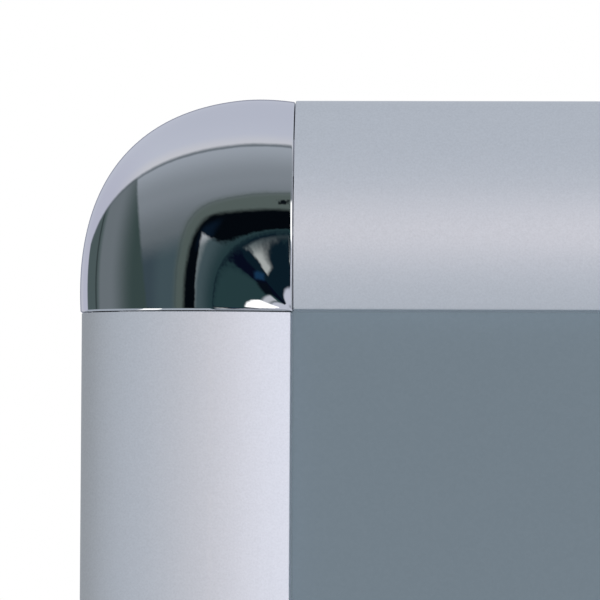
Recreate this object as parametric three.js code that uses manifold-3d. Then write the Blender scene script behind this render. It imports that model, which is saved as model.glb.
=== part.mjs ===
// A wall-hung pin board in a click frame: four hinged aluminium rails, four chromed corner caps,
// and a pin face on a cork core and a backing board.
// Millimetres, +Z up, +Y into the wall. The origin is the centre of the wall plane, and the
// front faces -Y.

import * as THREE from "three";
import { mergeVertices } from "three/addons/utils/BufferGeometryUtils.js";
import Module from "manifold-3d";

const wasm = await Module();
wasm.setup();

// ---------------------------------------------------------------- driving dimensions

// Overall, over the outer edges of the rails
const boardWidth = 900;
const boardHeight = 600;

// Clearances
const restGap = 0.3; // between pieces that rest on, slide in or clip round each other
const seamGap = 0.3; // between a rail's end and the corner cap
const panelEdgeGap = 0.5; // between the panel's edge and the rib beside it

// Front rail section: "inset" runs inward from the outer edge, "height" out from the wall
const railWidth = 32;
const railDepth = 14.5;
const railSideHeight = 6.5; // where the upright side turns into the crowned front
const crownInset = 20;
const innerEdgeDrop = 1.6; // how far the front falls from the crown to the inner edge
const innerEdgeRound = 0.6;
const railSkin = 1.3;
const lipThickness = 1.6;

// Hinge bead on the base rail and socket on the front rail
const beadRadius = 1.3;
const socketWall = 1.3;
const neckThickness = 1.1;
const neckAngle = 296; // degrees, from inward towards the front
const socketFrom = -38; // degrees of the socket's inner end, closed
const socketTo = 190; // degrees of its outer end, closed
const rootAngle = 60; // degrees at which the socket leaves the thick root under the skin

// Base rail section
const baseWall = 1.4;
const baseEdgeInset = 0.5; // the base stops short of the front rail's outer and inner edges
const channelInset = 10;
const channelWidth = 8;
const channelDepth = 3.5;
const ribThickness = 1;
const channelLipReach = 1.2;
const channelLipThickness = 1;
const panelStopDrop = 0.6; // the panel stop ends this far below the pin face

// Panel layers
const backingThickness = 2;
const coreThickness = 3;
const pinFaceThickness = 2;

// Corner caps and the blocks under them
const capProud = 0.4; // how far a cap stands out from the rails beside it
const capSkin = 1.3;
const capWebThickness = 1.2;
const capStraight = 1.4; // straight run of the cap's outline beside each seam
const capRoundness = 2.5; // exponent of the outline: 2 is a circle, more is squarer
const bossRadius = 3.4;
const tongueReach = 35;

// Fasteners
const grubRadius = 1.8;
const grubInset = 18; // along the tongue, from the seam
const grubSocketRadius = 1;
const grubSocketDepth = 1.5;
const capScrewRadius = 1.45;
const capScrewHeadRadius = 2.8;
const capScrewHeadHeight = 1.7;
const capScrewHeadSunk = 0.5; // how far the head is sunk in from the wall plane
const capScrewBite = 6; // length in the cap's boss
const capScrewSlotLength = 3.6;
const capScrewSlotWidth = 0.7;
const capScrewSlotDepth = 0.9;
const wallScrewHoleRadius = 2.25;
const wallScrewHeadRadius = 3.8;
const wallScrewSpacing = 660;

// Spring clips
const clipLength = 40;
const clipThickness = 0.5;
const clipEndMargin = 120; // from a rail's end to the middle of its first clip
const clipsOnLongRail = 3;
const clipsOnShortRail = 2;

// How far a cutting tool runs past the surface that it cuts
const cutPast = 1;

// Curve fineness
const ellipseSteps = 12;
const crownSteps = 4;
const roundSteps = 3;
const socketSteps = 14;
const capSteps = 12;
const cylinderSides = 20;
const clipSteps = 24;

// ---------------------------------------------------------------- worked-out places

const cornerLength = railWidth + capProud; // from the outer edge to the seam
const socketInnerRadius = beadRadius + restGap;
const socketOuterRadius = socketInnerRadius + socketWall;
const hinge = new THREE.Vector2(socketOuterRadius, baseWall + restGap + socketOuterRadius);
const channelFloorToLip = baseWall + channelDepth;
const ribTop = channelFloorToLip + channelLipThickness;
const channelFrom = channelInset + ribThickness;
const channelTo = channelFrom + channelWidth;
const channelMiddle = (channelFrom + channelTo) / 2;
const panelInset = channelTo + ribThickness + panelEdgeGap;
const panelBack = baseWall + restGap;
const panelFront = panelBack + backingThickness + coreThickness + pinFaceThickness;
const lipBottom = panelFront + restGap;
const tongueBottom = baseWall + restGap;
const tongueTop = channelFloorToLip - restGap;
const capWidth = cornerLength + capProud; // from the cap's outer edge to the seam
const capScrewHeadTop = capScrewHeadSunk + capScrewHeadHeight;
const capScrewTip = tongueTop + restGap + capScrewBite;
const grubPlace = cornerLength + grubInset; // from the board's outer edge, along the tongue
const clearOfFront = railDepth + capProud + cutPast;
const fallRun = railWidth - crownInset;
const fallRadius = (fallRun ** 2 + innerEdgeDrop ** 2) / (2 * innerEdgeDrop); // crown to edge

const degrees = (angle) => THREE.MathUtils.degToRad(angle);

// ---------------------------------------------------------------- joining and cutting

function toSolid(geometry) {
  const bare = geometry.clone();
  bare.deleteAttribute("normal");
  bare.deleteAttribute("uv");
  const merged = mergeVertices(bare, 1e-4);
  return new wasm.Manifold(
    new wasm.Mesh({
      numProp: 3,
      vertProperties: new Float32Array(merged.attributes.position.array),
      triVerts: new Uint32Array(merged.index.array),
    }),
  );
}

function toGeometry(solid) {
  const mesh = solid.getMesh();
  const geometry = new THREE.BufferGeometry();
  geometry.setAttribute("position", new THREE.BufferAttribute(mesh.vertProperties, 3));
  geometry.setIndex(new THREE.BufferAttribute(mesh.triVerts, 1));
  geometry.computeVertexNormals();
  return geometry;
}

function join(geometries) {
  const solids = geometries.map(toSolid);
  return toGeometry(solids.reduce((sum, solid) => sum.add(solid)));
}

function cut(geometry, tools) {
  return toGeometry(tools.map(toSolid).reduce((rest, tool) => rest.subtract(tool), toSolid(geometry)));
}

function common(first, second) {
  return toGeometry(toSolid(first).intersect(toSolid(second)));
}

// ---------------------------------------------------------------- shapes and their places

const onCircle = (centre, radius, angle) =>
  new THREE.Vector2(
    centre.x + radius * Math.cos(degrees(angle)),
    centre.y + radius * Math.sin(degrees(angle)),
  );

// Points of an elliptical arc, both ends included.
function arcPoints(centre, radiusX, radiusY, fromAngle, toAngle, steps) {
  const curve = new THREE.EllipseCurve(
    centre.x,
    centre.y,
    radiusX,
    radiusY,
    degrees(fromAngle),
    degrees(toAngle),
    toAngle < fromAngle,
  );
  return curve.getPoints(steps);
}

const socketArc = (radius, fromAngle, toAngle) =>
  arcPoints(hinge, radius, radius, fromAngle, toAngle, socketSteps);

// Extrudes a section of (inset, height) points along a rail: inset becomes +Z, height -Y,
// and the length runs along X, centred.
function alongRail(points, length) {
  const geometry = new THREE.ExtrudeGeometry(new THREE.Shape(points), {
    depth: length,
    bevelEnabled: false,
  });
  geometry.translate(0, 0, -length / 2);
  geometry.applyMatrix4(
    new THREE.Matrix4().makeBasis(
      new THREE.Vector3(0, 0, 1),
      new THREE.Vector3(0, -1, 0),
      new THREE.Vector3(1, 0, 0),
    ),
  );
  return geometry;
}

// Extrudes a plan of (X, Z) points out from the wall between two heights.
function outFromWall(points, fromHeight, toHeight) {
  const geometry = new THREE.ExtrudeGeometry(new THREE.Shape(points), {
    depth: toHeight - fromHeight,
    bevelEnabled: false,
  });
  geometry.translate(0, 0, fromHeight);
  geometry.applyMatrix4(
    new THREE.Matrix4().makeBasis(
      new THREE.Vector3(1, 0, 0),
      new THREE.Vector3(0, 0, 1),
      new THREE.Vector3(0, -1, 0),
    ),
  );
  return geometry;
}

function rectangle(fromX, fromZ, toX, toZ) {
  return [
    new THREE.Vector2(fromX, fromZ),
    new THREE.Vector2(toX, fromZ),
    new THREE.Vector2(toX, toZ),
    new THREE.Vector2(fromX, toZ),
  ];
}

// A turned piece whose axis points out from the wall at (x, z). The profile is a list of
// [radius, height] pairs that starts and ends on the axis, from the back to the front.
function turned(profile, x, z, sides = cylinderSides) {
  const points = profile.map(([radius, height]) => new THREE.Vector2(radius, height));
  const geometry = new THREE.LatheGeometry(points, sides);
  geometry.rotateX(Math.PI);
  geometry.translate(x, 0, z);
  return geometry;
}

const pin = (radius, x, z, fromHeight, toHeight, sides) =>
  turned([[0, fromHeight], [radius, fromHeight], [radius, toHeight], [0, toHeight]], x, z, sides);

function mesh(name, geometry, material) {
  const made = new THREE.Mesh(geometry, material);
  made.name = name;
  return made;
}

// ---------------------------------------------------------------- rail sections

// Base rail: back wall, panel stop, screw channel and the hinge bead on its neck.
function baseRailSection() {
  const neckAway = new THREE.Vector2(Math.cos(degrees(neckAngle)), Math.sin(degrees(neckAngle)));
  const neckAcross = new THREE.Vector2(-neckAway.y, neckAway.x).multiplyScalar(neckThickness / 2);
  const neckSpread = THREE.MathUtils.radToDeg(Math.asin(neckThickness / 2 / beadRadius));
  const neckFoot = (side) => {
    const start = hinge.clone().addScaledVector(neckAcross, side);
    return start.addScaledVector(neckAway, (baseWall - start.y) / neckAway.y);
  };
  const bead = socketArc(beadRadius, neckAngle - 360 + neckSpread, neckAngle - neckSpread);
  return [
    new THREE.Vector2(baseEdgeInset, 0),
    new THREE.Vector2(railWidth - baseEdgeInset, 0),
    new THREE.Vector2(railWidth - baseEdgeInset, baseWall),
    new THREE.Vector2(channelTo + ribThickness, baseWall),
    new THREE.Vector2(channelTo + ribThickness, panelFront - panelStopDrop),
    new THREE.Vector2(channelTo, panelFront - panelStopDrop),
    new THREE.Vector2(channelTo, ribTop),
    new THREE.Vector2(channelTo - channelLipReach, ribTop),
    new THREE.Vector2(channelTo - channelLipReach, channelFloorToLip),
    new THREE.Vector2(channelTo, channelFloorToLip),
    new THREE.Vector2(channelTo, baseWall),
    new THREE.Vector2(channelFrom, baseWall),
    new THREE.Vector2(channelFrom, channelFloorToLip),
    new THREE.Vector2(channelFrom + channelLipReach, channelFloorToLip),
    new THREE.Vector2(channelFrom + channelLipReach, ribTop),
    new THREE.Vector2(channelInset, ribTop),
    new THREE.Vector2(channelInset, baseWall),
    neckFoot(1),
    ...bead,
    neckFoot(-1),
    new THREE.Vector2(baseEdgeInset, baseWall),
  ];
}

// The crowned front at a given depth under the surface, from the top of the upright side over
// the crown to a given inset.
function crownCurve(depth, endInset) {
  const side = arcPoints(
    new THREE.Vector2(crownInset, railSideHeight),
    crownInset - depth,
    railDepth - railSideHeight - depth,
    180,
    90,
    ellipseSteps,
  );
  const radius = fallRadius - depth;
  const endAngle = THREE.MathUtils.radToDeg(Math.acos((endInset - crownInset) / radius));
  const fallCentre = new THREE.Vector2(crownInset, railDepth - fallRadius);
  const fall = arcPoints(fallCentre, radius, radius, 90, endAngle, crownSteps);
  return [...side, ...fall.slice(1)];
}

// The front surface of a front rail, ending in the rounded inner edge.
function railFront() {
  const roundRun = railWidth - innerEdgeRound - crownInset;
  const roundAngle = Math.acos(roundRun / (fallRadius - innerEdgeRound));
  const roundCentre = new THREE.Vector2(
    railWidth - innerEdgeRound,
    railDepth - fallRadius + (fallRadius - innerEdgeRound) * Math.sin(roundAngle),
  );
  const crown = crownCurve(0, crownInset + fallRadius * Math.cos(roundAngle));
  const round = arcPoints(
    roundCentre,
    innerEdgeRound,
    innerEdgeRound,
    THREE.MathUtils.radToDeg(roundAngle),
    0,
    roundSteps,
  );
  return [...crown, ...round.slice(1)];
}

// Front rail: hinge socket, crowned skin and the lip that covers the panel's edge.
function frontRailSection() {
  const lipInset = railWidth - lipThickness;
  const root = onCircle(hinge, socketOuterRadius, rootAngle);
  const underside = crownCurve(railSkin, lipInset).filter((point) => point.x > root.x);
  return [
    onCircle(hinge, socketOuterRadius, 180),
    onCircle(hinge, socketOuterRadius, socketTo),
    ...socketArc(socketInnerRadius, socketTo, socketFrom),
    ...socketArc(socketOuterRadius, socketFrom, rootAngle),
    ...underside,
    new THREE.Vector2(lipInset, lipBottom),
    new THREE.Vector2(railWidth, lipBottom),
    ...railFront().reverse(),
  ];
}

// ---------------------------------------------------------------- corner cap surface

// Outline of a cap seen from the front, as points measured outward from its inner corner, from
// one seam to the other: a straight run, a rounded square corner and a straight run.
function capOutline(margin) {
  const reach = capWidth - margin;
  const round = reach - capStraight;
  const corner = [];
  for (let step = 0; step <= capSteps; step += 1) {
    const angle = degrees((90 * step) / capSteps);
    corner.push(
      new THREE.Vector2(
        capStraight + round * Math.cos(angle) ** (2 / capRoundness),
        capStraight + round * Math.sin(angle) ** (2 / capRoundness),
      ),
    );
  }
  return [new THREE.Vector2(reach, 0), ...corner, new THREE.Vector2(0, reach)];
}

// Sweeps a closed section of (inset, height) points round the cap's inner corner, from seam to
// seam, stretched to the outline. The inset is measured from the cap's own outer edge, and the
// section starts and ends on the inner corner, going over the front first.
function capSweep(section) {
  const outline = capOutline(0);
  const ring = section.slice(1, -1);
  const place = (outlinePoint, sectionPoint) => {
    const share = 1 - sectionPoint.x / capWidth;
    return [
      cornerLength - outlinePoint.x * share,
      -sectionPoint.y,
      cornerLength - outlinePoint.y * share,
    ];
  };
  const positions = [
    ...place(outline[0], section[0]),
    ...place(outline[0], section.at(-1)),
    ...outline.flatMap((outer) => ring.flatMap((point) => place(outer, point))),
  ];
  const vertex = (step, index) => {
    if (index === 0) {
      return 0;
    }
    if (index === section.length - 1) {
      return 1;
    }
    return 2 + step * ring.length + index - 1;
  };
  const triangles = [];
  const lastStep = outline.length - 1;
  for (let step = 0; step < lastStep; step += 1) {
    for (let index = 0; index < section.length - 1; index += 1) {
      const corners = [
        vertex(step, index),
        vertex(step, index + 1),
        vertex(step + 1, index + 1),
        vertex(step + 1, index),
      ];
      if (corners[1] !== corners[2]) {
        triangles.push(corners[0], corners[1], corners[2]);
      }
      if (corners[3] !== corners[0]) {
        triangles.push(corners[0], corners[2], corners[3]);
      }
    }
  }
  for (const [a, b, c] of THREE.ShapeUtils.triangulateShape([...section], [])) {
    triangles.push(vertex(0, a), vertex(0, c), vertex(0, b));
    triangles.push(vertex(lastStep, a), vertex(lastStep, b), vertex(lastStep, c));
  }
  const geometry = new THREE.BufferGeometry();
  geometry.setAttribute("position", new THREE.Float32BufferAttribute(positions, 3));
  geometry.setIndex(triangles);
  return geometry;
}

// The cap's front surface at a given depth under it, from the inner corner to the outer side.
function capFront(depth) {
  const curve = crownCurve(depth - capProud, cornerLength);
  return curve.reverse().map((point) => new THREE.Vector2(point.x + capProud, point.y));
}

function capShell() {
  const inside = capFront(capSkin).reverse();
  return capSweep([
    ...capFront(0),
    new THREE.Vector2(0, restGap),
    new THREE.Vector2(capSkin, restGap),
    ...inside,
  ]);
}

// The space inside the cap, up to the middle of its skin.
function capBulk() {
  const middle = capFront(capSkin / 2);
  return capSweep([
    ...middle,
    new THREE.Vector2(middle.at(-1).x, restGap),
    new THREE.Vector2(capWidth, restGap),
  ]);
}

// ---------------------------------------------------------------- pieces

// The hole for a wall screw: countersunk, and cut through the channel's lips above it.
function wallScrewCut(x) {
  return turned(
    [
      [0, -cutPast],
      [wallScrewHoleRadius, -cutPast],
      [wallScrewHoleRadius, 0],
      [wallScrewHeadRadius, baseWall],
      [wallScrewHeadRadius, ribTop + cutPast],
      [0, ribTop + cutPast],
    ],
    x,
    channelMiddle,
  );
}

function baseRail(length, hangs) {
  const rail = alongRail(baseRailSection(), length);
  if (!hangs) {
    return rail;
  }
  return cut(rail, [wallScrewCut(-wallScrewSpacing / 2), wallScrewCut(wallScrewSpacing / 2)]);
}

const frontRail = (length) => alongRail(frontRailSection(), length);

// A sprung strip that stands against the channel's outer rib and bears on the hinge socket.
function springClip() {
  const floor = baseWall + restGap + clipThickness / 2;
  const back = channelInset - restGap - clipThickness / 2;
  const nose = hinge.x + socketOuterRadius + restGap + clipThickness / 2;
  const bow = (back - nose) / 3;
  const middleLine = new THREE.SplineCurve([
    new THREE.Vector2(nose + bow / 2, floor),
    new THREE.Vector2(back - bow, floor),
    new THREE.Vector2(back - bow / 4, floor + bow / 4),
    new THREE.Vector2(back, floor + bow),
    new THREE.Vector2(back, ribTop),
    new THREE.Vector2(back - bow, ribTop + bow),
    new THREE.Vector2(back - 2 * bow, ribTop),
    new THREE.Vector2(nose, hinge.y),
    new THREE.Vector2(nose + bow / 2, hinge.y - bow),
  ]);
  const left = [];
  const right = [];
  for (let step = 0; step <= clipSteps; step += 1) {
    const centre = middleLine.getPoint(step / clipSteps);
    const along = middleLine.getTangent(step / clipSteps);
    const across = new THREE.Vector2(-along.y, along.x).multiplyScalar(clipThickness / 2);
    left.push(centre.clone().add(across));
    right.push(centre.clone().sub(across));
  }
  return alongRail([...right, ...left.reverse()], clipLength);
}

// Block under a cap: a plate on the wall side, and two tongues that slide into the channels of
// the base rails.
function cornerBlock() {
  const from = channelFrom + restGap;
  const to = channelTo - restGap;
  const tongueEnd = cornerLength + tongueReach;
  const plate = capOutline(capSkin + restGap).map(
    (point) => new THREE.Vector2(cornerLength - point.x, cornerLength - point.y),
  );
  const body = join([
    outFromWall([new THREE.Vector2(0, 0).addScalar(cornerLength), ...plate], 0, baseWall),
    outFromWall(rectangle(from, from, cornerLength, to), 0, tongueTop),
    outFromWall(rectangle(from, from, to, cornerLength), 0, tongueTop),
    outFromWall(rectangle(from, from, tongueEnd, to), tongueBottom, tongueTop),
    outFromWall(rectangle(from, from, to, tongueEnd), tongueBottom, tongueTop),
  ]);
  const grubHole = grubRadius + restGap;
  const shankHole = capScrewRadius + restGap;
  const headHole = capScrewHeadRadius + restGap;
  const headSeat = capScrewHeadTop + restGap;
  return cut(body, [
    pin(grubHole, grubPlace, channelMiddle, 0, clearOfFront),
    pin(grubHole, channelMiddle, grubPlace, 0, clearOfFront),
    pin(shankHole, channelMiddle, channelMiddle, -cutPast, clearOfFront),
    pin(headHole, channelMiddle, channelMiddle, -cutPast, headSeat),
  ]);
}

// Set screw in a tongue, standing on the base rail's back wall, with a hexagon socket.
function grubScrew() {
  const top = tongueTop + restGap;
  const body = turned(
    [
      [0, tongueBottom],
      [grubRadius - restGap, tongueBottom],
      [grubRadius, tongueBottom + restGap],
      [grubRadius, top],
      [0, top],
    ],
    0,
    0,
  );
  const socket = pin(grubSocketRadius, 0, 0, top - grubSocketDepth, top + cutPast, 6);
  return cut(body, [socket]);
}

// Pan-head screw from the back, through the block into the cap's boss, with a cross slot.
function capScrew() {
  const body = turned(
    [
      [0, capScrewHeadSunk],
      [capScrewHeadRadius, capScrewHeadSunk],
      [capScrewHeadRadius, capScrewHeadTop],
      [capScrewRadius, capScrewHeadTop],
      [capScrewRadius, capScrewTip - capScrewRadius],
      [0, capScrewTip],
    ],
    0,
    0,
  );
  const long = capScrewSlotLength / 2;
  const short = capScrewSlotWidth / 2;
  const slotEnd = capScrewHeadSunk + capScrewSlotDepth;
  return cut(body, [
    outFromWall(rectangle(-long, -short, long, short), -cutPast, slotEnd),
    outFromWall(rectangle(-short, -long, short, long), -cutPast, slotEnd),
  ]);
}

// Chromed shell with a web along each seam and a boss for the screw from the back.
function cornerCap() {
  const edge = cornerLength - capWebThickness;
  const past = cornerLength + cutPast;
  const overBlock = tongueTop + restGap;
  const webX = outFromWall(rectangle(edge, -cutPast, past, past), lipBottom, clearOfFront);
  const webZ = outFromWall(rectangle(-cutPast, edge, past, past), lipBottom, clearOfFront);
  const boss = pin(bossRadius, channelMiddle, channelMiddle, overBlock, clearOfFront);
  const inside = [webX, webZ, boss].map((piece) => common(capBulk(), piece));
  const pilotRadius = capScrewRadius + restGap;
  const pilotEnd = capScrewTip + restGap;
  const pilot = pin(pilotRadius, channelMiddle, channelMiddle, 0, pilotEnd);
  return cut(join([capShell(), ...inside]), [pilot]);
}

// One layer of the panel, from a height above the wall plane.
function panelLayer(fromHeight, thickness) {
  const width = boardWidth - 2 * panelInset;
  const height = boardHeight - 2 * panelInset;
  const geometry = new THREE.BoxGeometry(width, thickness, height);
  geometry.translate(0, -(fromHeight + thickness / 2), 0);
  return geometry;
}

// ---------------------------------------------------------------- finishes

const finish = (color, metalness, roughness) =>
  new THREE.MeshStandardMaterial({ color, metalness, roughness });

const anodised = finish(0xc4c7d0, 0.9, 0.42);
const extruded = finish(0xb4b8bc, 0.9, 0.5);
const chromed = finish(0xd6dade, 1, 0.06);
const springSteel = finish(0x8f9398, 0.9, 0.35);
const zincPlated = finish(0xa9aeb2, 0.9, 0.4);
const blackNylon = finish(0x1d1e20, 0, 0.6);
const slateLinoleum = finish(0x72808b, 0, 0.85);
const naturalCork = finish(0xb1875a, 0, 0.95);
const hardboard = finish(0x8a6a4a, 0, 0.8);

// ---------------------------------------------------------------- assembly

const board = new THREE.Group();
const right = boardWidth / 2;
const top = boardHeight / 2;

// A group whose +X and +Z run along and inward after some quarter turns about Y.
function turnedGroup(quarterTurns, x, z) {
  const group = new THREE.Group();
  group.rotation.y = (quarterTurns * Math.PI) / 2;
  group.position.set(x, 0, z);
  board.add(group);
  return group;
}

const sides = [
  { name: "bottom", turns: 0, x: 0, z: -top, length: boardWidth, clips: clipsOnLongRail },
  { name: "right", turns: -1, x: right, z: 0, length: boardHeight, clips: clipsOnShortRail },
  { name: "top", turns: 2, x: 0, z: top, length: boardWidth, clips: clipsOnLongRail },
  { name: "left", turns: 1, x: -right, z: 0, length: boardHeight, clips: clipsOnShortRail },
];

for (const { name, turns, x, z, length, clips } of sides) {
  const group = turnedGroup(turns, x, z);
  const railLength = length - 2 * (cornerLength + seamGap);
  const hangs = name === "top" || name === "bottom";
  group.add(mesh(`base_rail_${name}`, baseRail(railLength, hangs), extruded));
  group.add(mesh(`front_rail_${name}`, frontRail(railLength), anodised));
  const firstClip = clipEndMargin - railLength / 2;
  const clipStep = (-2 * firstClip) / (clips - 1);
  for (let index = 0; index < clips; index += 1) {
    const clip = mesh(`spring_clip_${name}_${index + 1}`, springClip(), springSteel);
    clip.position.x = firstClip + index * clipStep;
    group.add(clip);
  }
}

const corners = [
  { name: "bottom_left", turns: 0, x: -right, z: -top },
  { name: "bottom_right", turns: -1, x: right, z: -top },
  { name: "top_right", turns: 2, x: right, z: top },
  { name: "top_left", turns: 1, x: -right, z: top },
];

for (const { name, turns, x, z } of corners) {
  const group = turnedGroup(turns, x, z);
  group.add(mesh(`corner_block_${name}`, cornerBlock(), blackNylon));
  group.add(mesh(`corner_cap_${name}`, cornerCap(), chromed));
  const capScrewMesh = mesh(`cap_screw_${name}`, capScrew(), zincPlated);
  capScrewMesh.position.set(channelMiddle, 0, channelMiddle);
  group.add(capScrewMesh);
  const grubPlaces = [
    [grubPlace, channelMiddle],
    [channelMiddle, grubPlace],
  ];
  grubPlaces.forEach(([grubX, grubZ], index) => {
    const grub = mesh(`grub_screw_${name}_${index + 1}`, grubScrew(), zincPlated);
    grub.position.set(grubX, 0, grubZ);
    group.add(grub);
  });
}

board.add(mesh("backing_board", panelLayer(panelBack, backingThickness), hardboard));
board.add(mesh("cork_core", panelLayer(panelBack + backingThickness, coreThickness), naturalCork));
board.add(
  mesh("pin_face", panelLayer(panelFront - pinFaceThickness, pinFaceThickness), slateLinoleum),
);

export default board;
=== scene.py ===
"""Looks of a wall-hung pin board in a click frame: satin rails, chromed corner caps and a slate pin face.

Sizes are in millimetres until a mesh is finished; Blender's own lengths are metres. A rail or corner has
its own frame: X runs along the rail, +Z inward over the board and -Y out from the wall.
"""

import math

import bmesh
import bpy
from mathutils import Matrix, Quaternion, Vector, noise


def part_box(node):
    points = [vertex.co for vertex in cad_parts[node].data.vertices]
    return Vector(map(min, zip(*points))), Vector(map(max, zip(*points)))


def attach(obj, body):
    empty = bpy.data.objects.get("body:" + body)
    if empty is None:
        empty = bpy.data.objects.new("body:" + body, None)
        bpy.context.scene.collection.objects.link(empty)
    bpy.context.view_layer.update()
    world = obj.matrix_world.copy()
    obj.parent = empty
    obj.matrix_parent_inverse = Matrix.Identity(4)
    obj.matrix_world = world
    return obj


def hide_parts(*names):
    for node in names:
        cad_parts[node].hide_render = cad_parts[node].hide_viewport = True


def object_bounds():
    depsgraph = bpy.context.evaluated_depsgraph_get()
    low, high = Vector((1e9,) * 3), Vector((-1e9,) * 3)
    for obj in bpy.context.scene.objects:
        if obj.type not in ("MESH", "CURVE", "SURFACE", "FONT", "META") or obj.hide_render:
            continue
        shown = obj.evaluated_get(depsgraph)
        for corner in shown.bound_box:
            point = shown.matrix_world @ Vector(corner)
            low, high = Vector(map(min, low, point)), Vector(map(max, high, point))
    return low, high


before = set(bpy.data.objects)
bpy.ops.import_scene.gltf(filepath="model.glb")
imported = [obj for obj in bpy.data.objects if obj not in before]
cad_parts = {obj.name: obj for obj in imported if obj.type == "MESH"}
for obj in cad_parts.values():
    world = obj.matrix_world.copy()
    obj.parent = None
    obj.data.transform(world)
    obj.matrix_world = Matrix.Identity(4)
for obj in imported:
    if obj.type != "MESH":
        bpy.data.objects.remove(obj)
cad_low, cad_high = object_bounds()

MM = 0.001

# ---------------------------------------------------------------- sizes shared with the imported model

# Front rail section: inset from the outer edge, height out from the wall
RAIL_WIDTH = 32.0
RAIL_DEPTH = 14.5
RAIL_SIDE_HEIGHT = 6.5
CROWN_INSET = 20.0
INNER_EDGE_DROP = 1.6
INNER_EDGE_ROUND = 0.6
RAIL_SKIN = 1.3
LIP_THICKNESS = 1.6
LIP_BOTTOM = 9.0

# Hinge socket of the front rail
HINGE = (2.9, 4.6)
SOCKET_INNER_RADIUS = 1.6
SOCKET_OUTER_RADIUS = 2.9
SOCKET_FROM = -38.0
SOCKET_TO = 190.0
ROOT_ANGLE = 60.0

# Corner caps, with heights out from the wall
CAP_PROUD = 0.4
CAP_SKIN = 1.3
CAP_WEB = 1.2
CAP_BOTTOM = 0.3
BOSS_RADIUS = 3.4
BOSS_PLACE = 15.0
BOSS_BOTTOM = 4.9
PILOT_RADIUS = 1.75
PILOT_TOP = 11.2

# ---------------------------------------------------------------- sizes of the finer surfaces

PACKED_SEAM_GAP = 0.3  # between a rail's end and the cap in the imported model
SEAM_GAP = 0.11  # the same, as close as real ones are fitted
SEAM_SHIFT = 0.25  # of the seam towards the outer corner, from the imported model's
CUT_EDGE_ROUND = 0.12  # of a sawn and deburred rail end
CAP_LIP_ROUND = 0.28  # of the cap's edge along each seam
CAP_ROUNDNESS = 2.59  # exponent of the cap's outline: 2 is a circle, more is squarer
CAP_DIP = 0.2  # of the cap's outline beside one seam
CAP_GATE_DIP = 0.6  # of the outline beside the other seam, where the casting has its gate
CAP_DIP_REACH = 9.0  # how far along the outline a dip runs out
SHEET_EDGE_ROUND = 0.35
CRUMB_DEPTH = 0.22  # how deep the cut edge of the cork is pitted
CRUMB_STEP = 1.1
CRUMB_ROWS = 4
CRUMBS_PER_METRE = 900
BASE_RAIL_ROUND = 0.15
CORNER_BLOCK_ROUND = 0.25
SPRING_CLIP_ROUND = 0.1
SCREW_ROUND = 0.12
SCREEN_STEP = 0.0018  # of the press screen's print on the hardboard, in metres

# Curve fineness
ELLIPSE_STEPS = 56
FALL_STEPS = 18
ROUND_STEPS = 6
SOCKET_STEPS = 26
FAN_STEPS = 64
LIP_FIRST_ANGLE = 0.03  # degrees from the seam to the first line of the cap's fan
LIP_GROWTH = 1.5  # from each of the fan's first angles to the next
ROD_SIDES = 48
SHARP_ANGLE = 38  # degrees between two faces from which their edge is a real one
SOFTENED_ANGLE = 30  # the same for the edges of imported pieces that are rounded
SAME_POINT = 1e-8  # distance under which two points of a mesh are one
SAME_PACKED_POINT = 1e-6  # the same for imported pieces
NO_LENGTH = 1e-9  # length under which an edge is dropped
CUT_PAST = 1.0  # how far a cutting tool runs past the surface that it cuts

# ---------------------------------------------------------------- camera and studio

# From the top left corner of the board, in millimetres
CAMERA_PLACE = (73.1, -900, -77.5)
CAMERA_AIM = (32.7, 0, -29.8)
CAMERA_ROLL = 0.31  # degrees
LENS_LENGTH = 356

# Energy, softness in degrees and direction of each far lamp
FAR_LAMPS = {
    "front_lamp": (2.19, 3, (-0.045, 0.998, 0.053)),
    "back_lamp": (1.9, 20, (0.35, -1, -0.45)),
    "ceiling_lamp": (2.3, 15, (0, -0.06, -1)),
}
AMBIENT = (0.1, 0.1, 0.1, 1)  # what matt finishes gather besides the far lamps
WHITE = (1, 1, 1, 1)

# The room that mirror finishes show, with places in degrees to the right and up
LENS = (-2.65, 3.0)
LENS_SQUARENESS = 4.4  # exponent of the lens hood's outline: 2 is a circle, more is squarer
SLOT_LIGHT = (1.25, 1.25, 1.25, 1)
CARD_LIGHT = (1.2, 1.2, 1.2, 1)

# The softer room that satin finishes gather
ROOM_LEFT = (0.330, 0.350, 0.368, 1)
ROOM_AHEAD = (0.512, 0.549, 0.604, 1)
ROOM_BELOW = (0.475, 0.512, 0.560, 1)
LAMP_HEIGHT = 3.0  # degrees up
LAMP_SPREAD = 8.5  # degrees from the lamp's middle to where it has faded to about a third
LAMP_AHEAD = (0.57, 0.39, 0.29, 1)
LAMP_RIGHT = (0.80, 0.74, 0.80, 1)

# The floor, in metres
FLOOR_RADIUS = 2.4
FLOOR_FADE_FROM = 0.84
FLOOR_DROP = 0.12  # below the board

# ---------------------------------------------------------------- worked-out places

CORNER_LENGTH = RAIL_WIDTH + CAP_PROUD - SEAM_SHIFT
CAP_WIDTH = CORNER_LENGTH + CAP_PROUD
FALL_RUN = RAIL_WIDTH - CROWN_INSET
FALL_RADIUS = (FALL_RUN**2 + INNER_EDGE_DROP**2) / (2 * INNER_EDGE_DROP)

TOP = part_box("front_rail_top")[1].z / MM
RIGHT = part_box("front_rail_right")[1].x / MM

# Quarter turns about Y and the origin of each side's and corner's own frame
SIDES = {
    "bottom": (0, 0, -TOP),
    "right": (-1, RIGHT, 0),
    "top": (2, 0, TOP),
    "left": (1, -RIGHT, 0),
}
CORNERS = {
    "bottom_left": (0, -RIGHT, -TOP),
    "bottom_right": (-1, RIGHT, -TOP),
    "top_right": (2, RIGHT, TOP),
    "top_left": (1, -RIGHT, TOP),
}

# ---------------------------------------------------------------- outlines


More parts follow.
